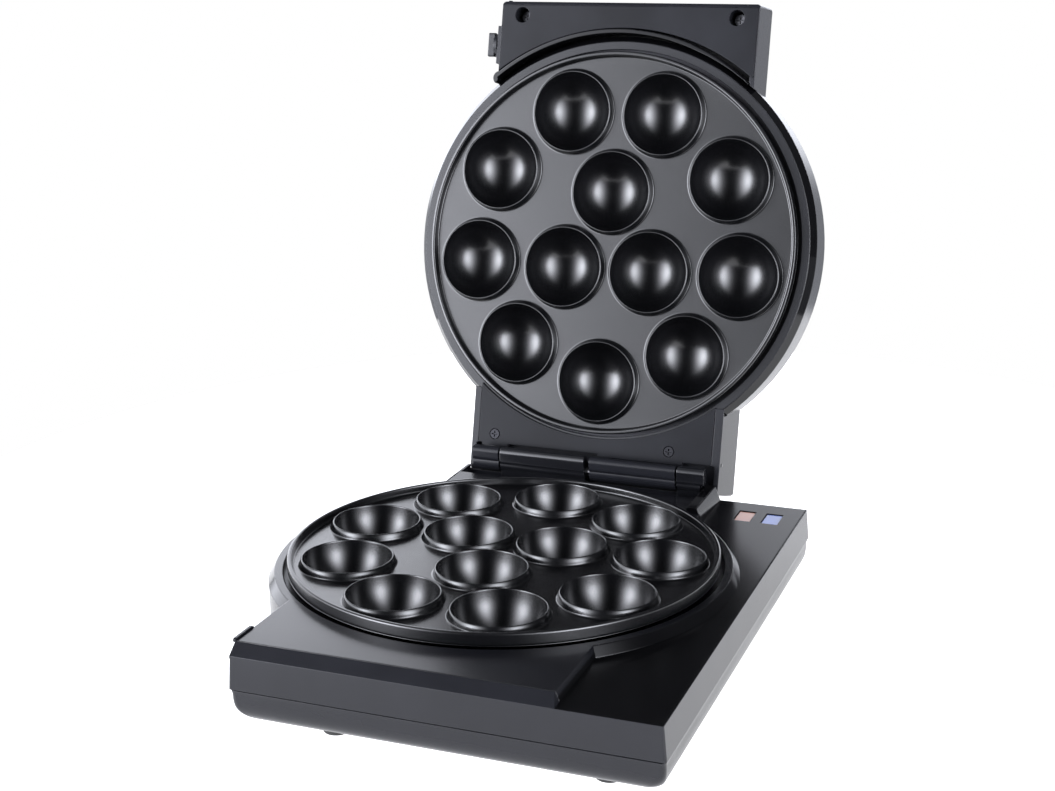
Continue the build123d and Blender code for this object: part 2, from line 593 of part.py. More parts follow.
with BuildPart() as base_screws:
    with BuildSketch(Plane.XY.offset(Z_BOTTOM + 2.8)):
        with Locations((-50, -100), (92, -100), (92, 84), (-50, 96)):
            Circle(2.9)
    extrude(amount=2.1)
    with BuildSketch(Plane.XY.offset(Z_BOTTOM + 4.8)):
        with Locations((-50, -100), (92, -100), (92, 84), (-50, 96)):
            Circle(1.2)
    extrude(amount=16.0)
    with BuildSketch(Plane.XY.offset(Z_BOTTOM + 2.8)):
        with Locations((-50, -100), (92, -100), (92, 84), (-50, 96)):
            Rectangle(3.4, 0.7)
            Rectangle(0.7, 3.4)
    extrude(amount=1.0, mode=Mode.SUBTRACT)
save(base_screws, "base_screws")

# ------------------------------------------------------------------ hinge of the base
AXIS_Z = Z_MATE + D_AXIS
with BuildPart() as hinge_bracket:
    for x0, x1 in KNUCKLES_BASE:
        with BuildSketch(Plane.YZ.offset(x0)):
            with Locations((Y_AXIS, AXIS_Z)):
                Circle(R_KNUCKLE)
            with Locations((sum(KN_Y) / 2, sum(KN_Z) / 2)):
                RectangleRounded(KN_Y[1] - KN_Y[0], KN_Z[1] - KN_Z[0], KN_R)
            with BuildLine():
                Polyline((Y_AXIS - 3.2, AXIS_Z), (Y_AXIS - 3.2, 29.4), (110.2, 29.4), (110.2, 32.0), (Y_AXIS + 3.0, 35.2), (Y_AXIS + 3.0, AXIS_Z), close=True)
            make_face()
        extrude(amount=x1 - x0)
    # the squared front of the right knuckle runs on over the cheek
    with BuildSketch(Plane.YZ.offset(KNUCKLES_BASE[1][1] - 1)):
        with Locations((sum(KN_Y) / 2, sum(KN_Z) / 2)):
            RectangleRounded(KN_Y[1] - KN_Y[0], KN_Z[1] - KN_Z[0], KN_R)
    extrude(amount=X_KN_END - KNUCKLES_BASE[1][1] + 1)
    with BuildSketch(Plane.XY.offset(27.6)):
        with Locations(((-61.8 + 56.4) / 2, (103.2 + 110.3) / 2)):
            Rectangle(56.4 + 61.8, 110.3 - 103.2)
    extrude(amount=1.9)
    with BuildSketch(Plane.YZ.offset(-62)):
        with Locations((Y_AXIS, AXIS_Z)):
            Circle(R_PIN)
    extrude(amount=56.4 + 62, mode=Mode.SUBTRACT)
save(hinge_bracket, "hinge_bracket")

with BuildPart() as hinge_pin:
    with BuildSketch(Plane.YZ.offset(-57.6)):
        with Locations((Y_AXIS, AXIS_Z)):
            Circle(R_PIN)
    extrude(amount=56.3 + 57.6)
    chamfer(hinge_pin.edges().filter_by(GeomType.CIRCLE), 0.4)
save(hinge_pin, "hinge_pin")

# ------------------------------------------------------------------ latch keeper on the left wall
with BuildPart() as latch_keeper:
    # thin lug standing a little above the edge of the plateau
    with BuildSketch(Plane.YZ.offset(X_L - 1.25)):
        with BuildLine():
            Polyline(
                (-113.4, Z_DECK - 0.5), (-113.4, Z_DECK + 0.4), (-112.6, Z_DECK + 0.8), (-100.6, Z_DECK + 0.8), (-99.6, Z_DECK + 0.3), (-99.6, Z_MATE + PEG_D - 2.6), (-100.8, Z_MATE + PEG_D - 3.8),
                (-108.6, Z_MATE + PEG_D - 3.8), (-110.0, Z_MATE + PEG_D - 2.4), (-110.0, Z_DECK - 3.0), close=True,
            )
        make_face()
    extrude(amount=1.23)
    # the leaning wall of the base reaches into the foot of the lug
    with BuildSketch(Plane.XZ.offset(90)):
        with BuildLine():
            Polyline((X_L - 0.02, Z_DECK), (X_L - 0.02, Z_STRIP), (-64.5, 24.0), (-60, 24.0), (-60, Z_DECK), close=True)
        make_face()
    extrude(amount=30, mode=Mode.SUBTRACT)
    with BuildSketch(Plane.YZ.offset(X_L - 1.2)):
        with Locations((PEG_Y, Z_MATE + PEG_D)):
            Circle(PEG_R)
    extrude(amount=-2.15)
    with BuildSketch(Plane.YZ.offset(X_L - 0.1)):
        with Locations((PEG_Y, 30.6)):
            Circle(0.9)
    extrude(amount=3.5)
save(latch_keeper, "latch_keeper")

# ------------------------------------------------------------------ lid
YZ_LID = Plane(origin=LID.origin, x_dir=LID.y_dir, z_dir=(1, 0, 0))   # sketch (y, h), extruded along x
with BuildPart() as lid_outer_shell:
    # handle and hinge block
    with BuildSketch(LID.offset(H_FACE)):
        with Locations(((XL_L + XL_R) / 2, (YL_F + YL_B) / 2)):
            RectangleRounded(XL_R - XL_L, YL_B - YL_F, 1.6)
    with BuildSketch(LID.offset(H_TOP)):
        with Locations(((XL_L + XL_R + 0.1) / 2, (YL_F + YL_B) / 2)):
            RectangleRounded(XL_R - XL_L + 0.9, YL_B - YL_F + 2 * LID_DRAFT, 2.4)
    loft()
    # the right side of the hinge block leans in towards the face
    with BuildSketch(Plane(origin=LID.origin + LID.y_dir * 70, x_dir=LID.x_dir, z_dir=LID.y_dir)):
        with BuildLine():
            Polyline((62.45, -H_FACE + 1), (62.45, -H_FACE), (64.9, -H_TOP), (70, -H_TOP), (70, -H_FACE + 1), close=True)
        make_face()
    extrude(amount=55, mode=Mode.SUBTRACT)
    # bevel along the front edge of the handle
    with BuildSketch(YZ_LID.offset(-70)):
        with BuildLine():
            Polyline((YL_F - 2, H_FACE - 1), (YL_F + 1.5, H_FACE - 1), (YL_F + 1.5, H_FACE), (YL_F - 0.1, H_FACE + 1.0), (YL_F - 2, H_FACE + 1.0), close=True)
        make_face()
    extrude(amount=140, mode=Mode.SUBTRACT)
    # drum
    with BuildSketch(LID.offset(D_STRIP)):
        Circle(R_DRUM)
    extrude(amount=H_TOP - D_STRIP)
    top = lid_outer_shell.faces().sort_by(Axis(LID.origin, LID.z_dir))[-1]
    fillet(top.edges(), 1.6)
    # hollow
    with BuildSketch(LID.offset(H_FACE - 1)):
        add(lid_outline_inner.sketch)
    extrude(amount=H_TOP - T_WALL - H_FACE + 1, mode=Mode.SUBTRACT)
    # room for the ring
    with BuildSketch(LID.offset(H_FACE - 1)):
        Circle(R_DRUM + 0.3)
    extrude(amount=D_STRIP - H_FACE + 1, mode=Mode.SUBTRACT)
    # drum wall behind the handle and inside the hinge block
    with BuildSketch(LID.offset(D_STRIP)):
        Circle(R_DRUM)
        Circle(R_DRUM - T_WALL, mode=Mode.SUBTRACT)
    extrude(amount=H_TOP - D_STRIP - 1)
    # rib behind the leaning side of the hinge block
    with BuildSketch(LID.offset(H_FACE)):
        with Locations(((60.2 + 62.2) / 2, (76.0 + 112.4) / 2)):
            Rectangle(62.2 - 60.2, 112.4 - 76.0)
    extrude(amount=H_TOP - 3 - H_FACE)
    # beam of the hinge block, set back to make room for the knuckles
    with BuildSketch(LID.offset(H_FACE + 4.4)):
        with Locations(((XL_L + XL_R) / 2, (99.8 + YL_B - 1) / 2)):
            Rectangle(XL_R - XL_L - 3, YL_B - 1 - 99.8)
    extrude(amount=T_WALL)
    with BuildSketch(LID.offset(H_FACE + T_SKIN + 0.05)):
        with Locations(((XL_L + XL_R) / 2, (99.8 + 101.3) / 2)):
            Rectangle(XL_R - XL_L - 3, 1.5)
    extrude(amount=5.0)
    # ledges under the sides of the hinge cover
    with BuildSketch(LID.offset(H_FACE + T_SKIN + 0.05)):
        with Locations((-60.6, 90.6), (59.6, 90.6)):
            Rectangle(4.0, 21.4)
    extrude(amount=2.0)
    # room for the ring
    with BuildSketch(LID.offset(H_FACE - 1)):
        Circle(R_DRUM + 0.3)
    extrude(amount=D_STRIP - H_FACE + 1, mode=Mode.SUBTRACT)
    # flush margins beside the hinge cover
    with BuildSketch(LID.offset(H_FACE)):
        with Locations(((58.45 + 62.45) / 2, (73.9 + 101.3) / 2)):
            Rectangle(62.45 - 58.45, 101.3 - 73.9)
        with Locations(((XL_L - 60.3) / 2, (73.9 + 101.3) / 2)):
            Rectangle(-60.3 - XL_L, 101.3 - 73.9)
        Circle(R_HOLE + 1.1, mode=Mode.SUBTRACT)
    extrude(amount=D_DECK - H_FACE - 0.02)
    with BuildSketch(LID.offset(H_FACE)):
        with Locations(((58.45 + 62.45) / 2, (73.9 + 101.3) / 2)):
            Rectangle(62.45 - 58.45, 101.3 - 73.9)
        with Locations(((XL_L - 60.3) / 2, (73.9 + 101.3) / 2)):
            Rectangle(-60.3 - XL_L, 101.3 - 73.9)
        Circle(R_DRUM + 0.3, mode=Mode.SUBTRACT)
    extrude(amount=T_SKIN + 0.1)
    # knuckles of the lid
    for x0, x1 in KNUCKLES_LID:
        with BuildSketch(YZ_LID.offset(x0)):
            with Locations((Y_AXIS, D_AXIS)):
                Circle(R_KNUCKLE)
            with BuildLine():
                Polyline(
                    (Y_AXIS - R_KNUCKLE, D_AXIS), (Y_AXIS - R_KNUCKLE, H_FACE + 4.6), (Y_AXIS + R_KNUCKLE, H_FACE + 4.6), (Y_AXIS + R_KNUCKLE, D_AXIS),
                    close=True,
                )
            make_face()
        extrude(amount=x1 - x0)
        with BuildSketch(Plane.YZ.offset(x0)):
            with Locations((sum(KN_Y) / 2, sum(KN_Z_LID) / 2)):
                RectangleRounded(KN_Y[1] - KN_Y[0], KN_Z_LID[1] - KN_Z_LID[0], KN_R)
        extrude(amount=x1 - x0)
        with BuildSketch(YZ_LID.offset(x0 - 0.1)):
            with Locations((Y_AXIS, D_AXIS)):
                Circle(R_PIN + PIN_PLAY)
        extrude(amount=x1 - x0 + 0.2, mode=Mode.SUBTRACT)
    # room for the screw wells of the handle cover
    with BuildSketch(LID.offset(H_FACE - 1)):
        with Locations(*HANDLE_SCREWS):
            Circle(R_SCREW_WELL + 1.2)
    extrude(amount=16.15 - H_FACE + 1, mode=Mode.SUBTRACT)
    # posts for the handle screws and the hinge cover screws
    with BuildSketch(LID.offset(16.2)):
        with Locations(*HANDLE_SCREWS):
            Circle(4.6)
    extrude(amount=H_TOP - 1.2 - 16.2)
    with BuildSketch(LID.offset(16.0)):
        with Locations(*HANDLE_SCREWS):
            Circle(1.25)
    extrude(amount=9.0, mode=Mode.SUBTRACT)
    with BuildSketch(LID.offset(H_FACE + T_SKIN + 0.1)):
        with Locations(*HINGE_SCREWS):
            Circle(3.6)
    extrude(amount=H_TOP - 1.2 - H_FACE - T_SKIN)
    with BuildSketch(LID.offset(H_FACE)):
        with Locations(*HINGE_SCREWS):
            Circle(1.25)
    extrude(amount=15.0, mode=Mode.SUBTRACT)
    # opening for the trench collar, through the left side only
    with BuildSketch(LID.offset(H_FACE - 0.5)):
        with BuildLine():
            t1 = CenterArc(C_ARC, R_ARC + W_BEAD + 0.15, 230.4, 81.6)
            t2 = CenterArc((0, 0), R_DRUM + 0.02, 229.0, 83.0)
            ThreePointArc(t1 @ 0, (-65.75, -78.5), t2 @ 0)
            Line(t1 @ 1, t2 @ 1)
        make_face()
        with Locations((62.3 - 75, -80)):
            Rectangle(150, 60, mode=Mode.INTERSECT)
    extrude(amount=H_TRENCH + 2.4 - H_FACE + 0.5, mode=Mode.SUBTRACT)
    # rebate for the handle cover
    with BuildSketch(LID.offset(H_FACE)):
        with Locations(((XL_L + 0.35 + XL_R - 0.4) / 2, (YL_F + 1.6 - 81.2) / 2)):
            Rectangle(XL_R - 0.4 - XL_L - 0.35, -81.2 - YL_F - 1.6)
    extrude(amount=T_SKIN + 0.1, mode=Mode.SUBTRACT)
    # latch boss on the left side of the handle
    with BuildSketch(Plane(origin=LID.origin + LID.x_dir * XL_L, x_dir=LID.y_dir, z_dir=(1, 0, 0))):
        with BuildLine():
            Polyline((-102.6, H_FACE + 0.2), (-102.6, 18.5), (-100.2, 21.0), (-86.9, 21.0), (-84.5, 18.5), (-84.5, H_FACE + 0.2), close=True)
        make_face()
    extrude(amount=-1.7)
    with BuildSketch(Plane(origin=LID.origin + LID.x_dir * (XL_L - 3), x_dir=LID.y_dir, z_dir=(1, 0, 0))):
        with Locations((LATCH_Y, LATCH_H)):
            Circle(R_PIN + PIN_PLAY)
    extrude(amount=6.0, mode=Mode.SUBTRACT)
save(lid_outer_shell, "lid_outer_shell")

# glossy collar with the trench between the drum and the handle
with BuildPart() as lid_trench_collar:
    with BuildSketch(LID.offset(H_FACE - 0.5)):
        with BuildLine():
            t1 = CenterArc(C_ARC, R_ARC + W_BEAD, 230.8, 81.2)
            t2 = CenterArc((0, 0), R_DRUM + 0.12, 229.2, 82.8)
            ThreePointArc(t1 @ 0, (-65.6, -78.5), t2 @ 0)
            Line(t1 @ 1, t2 @ 1)
        make_face()
        with Locations((61.7 - 75, -80)):
            Rectangle(150, 60, mode=Mode.INTERSECT)
    extrude(amount=H_TRENCH + 2.0 - H_FACE + 0.5)
    bead = lid_trench_collar.faces().sort_by(Axis(LID.origin, LID.z_dir))[0].edges().sort_by(SortBy.LENGTH)[-2:].sort_by(SortBy.RADIUS)[0]
    fillet(bead, 0.7)
    with BuildSketch(LID.offset(H_FACE - 0.6)):
        with Locations(C_ARC):
            Circle(R_ARC)
        Circle(R_DRUM + 0.1, mode=Mode.SUBTRACT)
        with BuildLine():
            Polyline((-62.4, -110), (-62.4, -81.4), (-63.5, -79.4), (-63.6, -77.6), (-62.9, -70), (60.6, -70), (60.6, -110), close=True)
        make_face(mode=Mode.INTERSECT)
    extrude(amount=H_TRENCH - H_FACE + 0.6, mode=Mode.SUBTRACT)
save(lid_trench_collar, "lid_trench_collar")

# annulus round the upper plate
with BuildPart() as lid_ring_cover:
    with BuildSketch(LID.offset(D_DECK)):
        Circle(R_DECK)
        Circle(R_HOLE, mode=Mode.SUBTRACT)
    extrude(amount=T_SKIN)
save(lid_ring_cover, "lid_ring_cover")

with BuildPart() as lid_ring_band:
    with BuildSketch(Plane(origin=LID.origin, x_dir=(1, 0, 0), z_dir=-LID.y_dir)):
        with BuildLine():
            Polyline((R_DECK + 0.05, D_DECK), (R_DRUM + 0.15, D_STRIP - 0.02), (R_DRUM - 2.3, D_STRIP - 0.02), (R_DECK - 1.3, D_DECK + 2.3), (R_DECK + 0.05, D_DECK + 2.3), close=True)
        make_face()
    revolve(axis=Axis(LID.origin, LID.z_dir))
save(lid_ring_band, "lid_ring_band")

# handle cover
with BuildPart() as handle_cover:
    with BuildSketch(LID.offset(H_FACE)):
        with Locations(((XL_L + 0.45 + XL_R - 0.62) / 2, (YL_F + 1.7 - 78.0) / 2)):
            Rectangle(XL_R - 0.62 - XL_L - 0.45, -78.0 - YL_F - 1.7)
        with Locations((-0.6, 0)):
            Circle(102.7, mode=Mode.SUBTRACT)
        with Locations(*HANDLE_SCREWS):
            Circle(R_SCREW_WELL, mode=Mode.SUBTRACT)
    extrude(amount=T_SKIN)
    # screw wells
    with BuildSketch(LID.offset(H_FACE + 0.5)):
        with Locations(*HANDLE_SCREWS):
            Circle(R_SCREW_WELL + 1.1)
    extrude(amount=16.1 - H_FACE - 0.5)
    with BuildSketch(LID.offset(H_FACE - 0.1)):
        with Locations(*HANDLE_SCREWS):
            Circle(R_SCREW_WELL)
    extrude(amount=14.1 - H_FACE + 0.1, mode=Mode.SUBTRACT)
    with BuildSketch(LID.offset(H_FACE - 0.1)):
        with Locations(*HANDLE_SCREWS):
            Circle(1.7)
    extrude(amount=13.0, mode=Mode.SUBTRACT)
save(handle_cover, "handle_cover")

# hinge cover
with BuildPart() as hinge_cover:
    with BuildSketch(LID.offset(H_FACE)):
        with Locations(((-60.1 + 58.2) / 2, (64.0 + 101.0) / 2)):
            Rectangle(58.2 + 60.1, 101.0 - 64.0)
        Circle(93.7, mode=Mode.SUBTRACT)
    extrude(amount=T_SKIN)
    with BuildSketch(LID.offset(D_DECK - 0.02)):
        Circle(R_DRUM + 2)
        Circle(93.0, mode=Mode.SUBTRACT)
    extrude(amount=4, mode=Mode.SUBTRACT)
    with BuildSketch(LID.offset(H_FACE)):
        with Locations(((-60.1 + 58.2) / 2, (64.0 + 101.0) / 2)):
            Rectangle(58.2 + 60.1, 101.0 - 64.0)
        Circle(R_DRUM + 0.45, mode=Mode.SUBTRACT)
        # tabs that reach down to the lid's knuckles
        for x0, x1 in KNUCKLES_LID:
            with Locations(((x0 + x1) / 2, 101.6)):
                Rectangle(x1 - x0, 1.4)
    extrude(amount=T_SKIN)
    with BuildSketch(LID.offset(H_FACE - 1)):
        with Locations(*HINGE_SCREWS):
            Circle(1.6)
    extrude(amount=6, mode=Mode.SUBTRACT)
    # seats of the screw heads
    with BuildSketch(LID.offset(H_FACE - 0.5)):
        with Locations(*HINGE_SCREWS):
            Circle(2.65)
    extrude(amount=1.5, mode=Mode.SUBTRACT)
save(hinge_cover, "hinge_cover")

# screws of the handle and of the hinge cover
with BuildPart() as handle_screws:
    with BuildSketch(LID.offset(12.1)):
        with Locations(*HANDLE_SCREWS):
            Circle(2.75)
    extrude(amount=2.0)
    with BuildSketch(LID.offset(14.0)):
        with Locations(*HANDLE_SCREWS):
            Circle(1.2)
    extrude(amount=10.0)
    with BuildSketch(LID.offset(12.1)):
        with Locations(*HANDLE_SCREWS):
            Rectangle(3.2, 0.7)
            Rectangle(0.7, 3.2)
    extrude(amount=0.9, mode=Mode.SUBTRACT)
save(handle_screws, "handle_screws")

with BuildPart() as hinge_cover_screws:
    with BuildSketch(LID.offset(H_FACE - 0.35)):
        with Locations(*HINGE_SCREWS):
            Circle(2.3)
    extrude(amount=1.33)
    with BuildSketch(LID.offset(H_FACE + 0.9)):
        with Locations(*HINGE_SCREWS):
            Circle(1.2)
    extrude(amount=12.0)
    with BuildSketch(LID.offset(H_FACE - 0.5)):
        with Locations(*HINGE_SCREWS):
            Rectangle(3.0, 0.65)
            Rectangle(0.65, 3.0)
    extrude(amount=0.9, mode=Mode.SUBTRACT)
save(hinge_cover_screws, "hinge_cover_screws")

# ------------------------------------------------------------------ latch
# Stowed pose: the stem points forward and up at 140 degrees from the rear direction.
STEM = 140.0
LX = XL_L - 1.7                       # outer face of the boss
LATCH = Plane(origin=LID.origin + LID.x_dir * LX + LID.y_dir * LATCH_Y + LID.z_dir * LATCH_H, x_dir=LID.y_dir, z_dir=(1, 0, 0))
peg_r = sqrt((PEG_Y - LATCH_Y) ** 2 + (PEG_D - LATCH_H) ** 2)
with BuildPart() as latch_hook:
    with BuildSketch(LATCH.offset(-0.3)):
        Circle(5.8)
        with BuildLine():
            u = (cos(radians(STEM)), sin(radians(STEM)))
            v = (-u[1], u[0])
            def q(a, b):
                return (a * u[0] + b * v[0], a * u[1] + b * v[1])
            # stem, then a nose turned towards the direction of swing
            Polyline(q(0, -3.2), q(24.5, -2.2), q(26.6, -0.8), q(26.8, 4.0), q(25.9, 6.6), q(24.6, 6.4), q(24.5, 2.9), q(22.9, 1.9), q(0, 3.2), close=True)
        make_face()
    extrude(amount=-1.7)
    # thumb tab
    with BuildSketch(LATCH.offset(-1.9)):
        with Locations((0, -2.6)):
            RectangleRounded(11.4, 3.4, 0.9)
    extrude(amount=-3.1)
    with BuildSketch(LATCH.offset(-0.4)):
        Circle(R_PIN)
    extrude(amount=6.4)
save(latch_hook, "latch_hook")

with BuildPart() as latch_clip:
    with BuildSketch(LATCH.offset(LX * 0 + 4.3)):
        Circle(3.1)
        Circle(R_PIN, mode=Mode.SUBTRACT)
    extrude(amount=0.8)
save(latch_clip, "latch_clip")

for n in made:
    print(n)
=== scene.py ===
import bpy, bmesh, math
from mathutils import Matrix, Vector


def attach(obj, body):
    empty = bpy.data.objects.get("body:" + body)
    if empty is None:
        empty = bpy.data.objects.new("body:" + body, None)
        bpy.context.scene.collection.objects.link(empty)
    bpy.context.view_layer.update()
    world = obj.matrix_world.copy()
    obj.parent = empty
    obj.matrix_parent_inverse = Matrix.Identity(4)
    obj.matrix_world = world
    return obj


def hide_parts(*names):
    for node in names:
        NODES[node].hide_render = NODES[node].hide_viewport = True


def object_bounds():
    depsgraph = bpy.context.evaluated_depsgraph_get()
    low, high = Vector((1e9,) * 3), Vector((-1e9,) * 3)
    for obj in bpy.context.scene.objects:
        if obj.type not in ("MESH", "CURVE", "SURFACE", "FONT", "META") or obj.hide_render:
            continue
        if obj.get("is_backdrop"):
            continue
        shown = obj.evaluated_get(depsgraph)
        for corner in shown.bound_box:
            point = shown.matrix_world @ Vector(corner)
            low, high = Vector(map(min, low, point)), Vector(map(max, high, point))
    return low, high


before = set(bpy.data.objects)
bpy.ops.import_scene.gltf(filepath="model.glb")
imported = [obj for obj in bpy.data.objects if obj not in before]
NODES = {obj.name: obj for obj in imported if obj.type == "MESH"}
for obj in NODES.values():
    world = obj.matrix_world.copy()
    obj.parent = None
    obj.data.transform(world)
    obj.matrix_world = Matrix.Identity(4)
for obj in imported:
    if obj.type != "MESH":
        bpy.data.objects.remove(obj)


def box_list(b):
    try:
        lo, hi = b
        return [[float(v) for v in lo], [float(v) for v in hi]]
    except Exception:
        return [float(v) for v in b]


CAD_BOX = box_list(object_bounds())
SC = bpy.context.scene

# ------------------------------------------------------------------ studio
# backdrop: azimuth runs left 0, front 0.25, right 0.5, back 0.75; height runs 0 below, 0.5 level, 1 above
BACK_AZ = [(0.0, 1.0), (0.05, 0.8), (0.09, 0.15), (0.13, 0.0), (0.715, 0.0), (0.75, 1.0), (0.79, 0.45), (0.813, 0.40), (0.827, 1.0), (1.0, 1.0)]
BACK_EL = [(0.0, 0.10), (0.46, 0.20), (0.50, 1.0), (0.56, 0.95), (0.65, 0.92), (0.69, 0.95), (0.725, 0.34), (0.80, 0.18), (0.90, 0.08), (1.0, 0.05)]
SIDE_AZ = [(0.50, 0.0), (0.56, 1.0), (0.70, 1.0), (0.735, 0.0)]
SIDE_EL = [(0.0, 1.0), (0.49, 1.0), (0.505, 0.06), (0.65, 0.08), (1.0, 0.2)]
BACK_GAIN, SIDE_GAIN, ROOM = 3.9, 0.9, 0.02
# soft boxes: azimuth, elevation, half widths in degrees, strength
BOXES = [(-134.0, 7.0, 15.0, 23.0, 20.0), (-31.0, 6.0, 14.0, 23.0, 18.0)]

# ------------------------------------------------------------------ frames, in millimetres
ZM, YA, DA = 39.6, 109.23, -1.47
OP = math.radians(103.22)
C_, S_ = math.cos(OP), math.sin(OP)
MM = Matrix.Diagonal((0.001, 0.001, 0.001, 1.0))
M_BASE = Matrix.Translation((0, 0, ZM * 0.001)) @ MM
LID_O = Vector((0, YA + C_ * (0 - YA) + S_ * (0 - DA), ZM + DA - S_ * (0 - YA) + C_ * (0 - DA)))
M_LID = Matrix((
    (1, 0, 0, LID_O.x * 0.001),
    (0, C_, S_, LID_O.y * 0.001),
    (0, -S_, C_, LID_O.z * 0.001),
    (0, 0, 0, 1),
)) @ MM
CUPS = [(66.0 * math.cos(math.radians(90 + 40 * k)), 66.0 * math.sin(math.radians(90 + 40 * k))) for k in range(9)]
CUPS += [(24.68 * math.cos(math.radians(-90 + 120 * k)), 24.68 * math.sin(math.radians(-90 + 120 * k))) for k in range(3)]


# ------------------------------------------------------------------ small node helpers
def new_mat(name):
    m = bpy.data.materials.new(name)
    m.use_nodes = True
    nt = m.node_tree
    for n in list(nt.nodes):
        nt.nodes.remove(n)
    out = nt.nodes.new("ShaderNodeOutputMaterial")
    bsdf = nt.nodes.new("ShaderNodeBsdfPrincipled")
    nt.links.new(bsdf.outputs[0], out.inputs[0])
    return m, nt, bsdf


def N(nt, kind, **inputs):
    n = nt.nodes.new(kind)
    for k, v in inputs.items():
        key = int(k[1:]) if k[0] == "_" and k[1:].isdigit() else k.replace("_", " ")
        n.inputs[key].default_value = v
    return n


def ramp(nt, src, stops, interp="LINEAR"):
    r = nt.nodes.new("ShaderNodeValToRGB")
    r.color_ramp.interpolation = interp
    e = r.color_ramp.elements
    while len(e) < len(stops):
        e.new(0.5)
    for el, (p, c) in zip(e, stops):
        el.position = p
        el.color = (c, c, c, 1) if not isinstance(c, (tuple, list)) else (*c, 1)
    nt.links.new(src, r.inputs[0])
    return r


def coords(nt):
    return nt.nodes.new("ShaderNodeTexCoord").outputs["Object"]


def noise(nt, vec, scale, detail=4.0, rough=0.55, dist=0.0):
    n = nt.nodes.new("ShaderNodeTexNoise")
    n.inputs["Scale"].default_value = scale
    n.inputs["Detail"].default_value = detail
    n.inputs["Roughness"].default_value = rough
    n.inputs["Distortion"].default_value = dist
    nt.links.new(vec, n.inputs["Vector"])
    return n


def bump(nt, height, strength, distance, normal=None):
    b = nt.nodes.new("ShaderNodeBump")
    b.inputs["Strength"].default_value = strength
    b.inputs["Distance"].default_value = distance
    nt.links.new(height, b.inputs["Height"])
    if normal is not None:
        nt.links.new(normal, b.inputs["Normal"])
    return b


def soft_edges(nt, radius):
    """Moulded parts have no knife edges: every edge catches a thin line of light."""
    b = nt.nodes.new("ShaderNodeBevel")
    b.samples = 6
    b.inputs["Radius"].default_value = radius
    return b.outputs[0]


def math_node(nt, op, a, b=None):
    m = nt.nodes.new("ShaderNodeMath")
    m.operation = op
    for i, v in enumerate((a, b)):
        if v is None:
            continue
        if isinstance(v, (int, float)):
            m.inputs[i].default_value = v
        else:
            nt.links.new(v, m.inputs[i])
    return m.outputs[0]


def moulded(name, col, rough, grain=0.0006, grain_strength=0.12, spec=0.5, smudge=0.05, coat=0.0, coat_rough=0.1, tint=0.25, edge=0.0004):
    """Moulded plastic: faint texture, uneven gloss and a trace of colour variation."""
    m, nt, b = new_mat(name)
    v = coords(nt)
    big = noise(nt, v, 38.0, 3.0, 0.5)
    fine = noise(nt, v, 1.0 / grain, 2.0, 0.6)
    dark = tuple(c * (1 - tint) for c in col)
    light = tuple(min(1, c * (1 + tint)) for c in col)
    r = ramp(nt, big.outputs["Fac"], [(0.3, dark), (0.7, light)])
    nt.links.new(r.outputs[0], b.inputs["Base Color"])
    rr = ramp(nt, big.outputs["Fac"], [(0.25, max(0.01, rough - smudge)), (0.75, rough + smudge)])
    nt.links.new(rr.outputs[0], b.inputs["Roughness"])
    bm = bump(nt, fine.outputs["Fac"], grain_strength, grain * 0.35, soft_edges(nt, edge) if edge else None)
    nt.links.new(bm.outputs[0], b.inputs["Normal"])
    b.inputs["Specular IOR Level"].default_value = spec
    b.inputs["Coat Weight"].default_value = coat
    b.inputs["Coat Roughness"].default_value = coat_rough
    return m


def metal(name, col, rough, brushed=True):
    m, nt, b = new_mat(name)
    v = coords(nt)
    mp = nt.nodes.new("ShaderNodeMapping")
    mp.inputs["Scale"].default_value = (40, 900, 900) if brushed else (300, 300, 300)
    nt.links.new(v, mp.inputs[0])
    n = noise(nt, mp.outputs[0], 3.0, 4.0, 0.6)
    r = ramp(nt, n.outputs["Fac"], [(0.3, tuple(c * 0.8 for c in col)), (0.7, col)])
    nt.links.new(r.outputs[0], b.inputs["Base Color"])
    rr = ramp(nt, n.outputs["Fac"], [(0.3, rough * 0.8), (0.7, rough * 1.25)])
    nt.links.new(rr.outputs[0], b.inputs["Roughness"])
    bm = bump(nt, n.outputs["Fac"], 0.15, 0.0002)
    nt.links.new(bm.outputs[0], b.inputs["Normal"])
    b.inputs["Metallic"].default_value = 1.0
    return m


